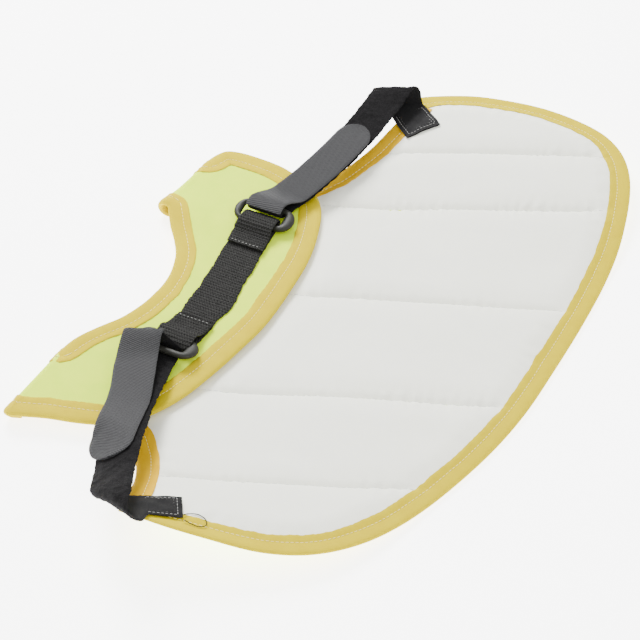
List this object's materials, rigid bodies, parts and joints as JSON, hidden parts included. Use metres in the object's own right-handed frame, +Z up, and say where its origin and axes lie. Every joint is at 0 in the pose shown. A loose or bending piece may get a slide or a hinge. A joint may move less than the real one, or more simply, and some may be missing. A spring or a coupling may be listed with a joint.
{
  "type": "pet float coat",
  "caption": "Padded float coat for a small pet, lying lining side up with its chest flap folded over it and its side straps fastened through oval rings.",
  "frame": {"origin": "bottom centre of the bounding box, on the ground under the middle of the coat", "axes": "+X along the spine towards the tail end, +Y to the far flank, +Z up from the ground"},
  "size_m": [0.2864, 0.4565, 0.0468],
  "materials": {
    "lime_shell": "smooth woven nylon, high visibility lime",
    "white_lining": "smooth woven white lining with quilting lines",
    "foam": "closed-cell foam sheet",
    "yellow_tape": "folded woven binding tape",
    "black_elastic": "chunky knitted elastic",
    "loop_tape": "fuzzy loop side of hook and loop tape",
    "hook_tape": "ribbed hook side of hook and loop tape",
    "strap_back": "smooth woven back of the strap",
    "ring_plastic": "moulded plastic, semi-gloss",
    "black_thread": "sewing thread"
  },
  "bodies": {
    "back_panel": {"back_shell": "lime_shell", "back_lining": "white_lining", "foam_strip_1": "foam", "foam_strip_2": "foam", "foam_strip_3": "foam", "foam_strip_4": "foam", "foam_strip_5": "foam", "foam_strip_6": "foam", "tail_binding": "yellow_tape", "near_arm_binding": "yellow_tape", "far_arm_binding": "yellow_tape", "back_neck_binding": "yellow_tape", "far_shoulder_fold": "lime_shell", "near_shoulder_fold": "lime_shell", "far_strap_patch": "strap_back", "near_strap_patch": "strap_back", "loose_thread": "black_thread"},
    "chest_flap": {"chest_shell": "lime_shell", "chest_lining": "white_lining", "chest_edge_binding": "yellow_tape", "chest_neck_binding": "yellow_tape", "chest_elastic": "black_elastic", "far_strap": "loop_tape", "near_strap": "loop_tape"},
    "far_ring": {"far_ring": "ring_plastic"},
    "near_ring": {"near_ring": "ring_plastic"},
    "far_tab": {"far_hook_tab": "hook_tape"},
    "near_tab": {"near_hook_tab": "hook_tape"}
  },
  "joints": [
    {"name": "chest_flap_fold", "type": "hinge", "parent": "back_panel", "child": "chest_flap", "pos_m": [-0.13466, -0.0388, 0.008], "axis": [0.0256, -0.9997, 0], "range_deg": [0, 35]},
    {"name": "far_ring_swivel", "type": "hinge", "parent": "chest_flap", "child": "far_ring", "pos_m": [-0.0751, 0.0362, 0.01405], "axis": [1, 0, 0], "range_deg": [-2.5, 2.5]},
    {"name": "near_ring_swivel", "type": "hinge", "parent": "chest_flap", "child": "near_ring", "pos_m": [-0.0751, -0.0793, 0.01405], "axis": [-1, 0, 0], "range_deg": [-2.5, 2.5]},
    {"name": "far_tab_peel", "type": "hinge", "parent": "chest_flap", "child": "far_tab", "pos_m": [-0.0751, 0.04989, 0.01696], "axis": [1, 0, 0], "range_deg": [0, 125]},
    {"name": "near_tab_peel", "type": "hinge", "parent": "chest_flap", "child": "near_tab", "pos_m": [-0.0751, -0.09299, 0.01696], "axis": [-1, 0, 0], "range_deg": [0, 125]}
  ]
}
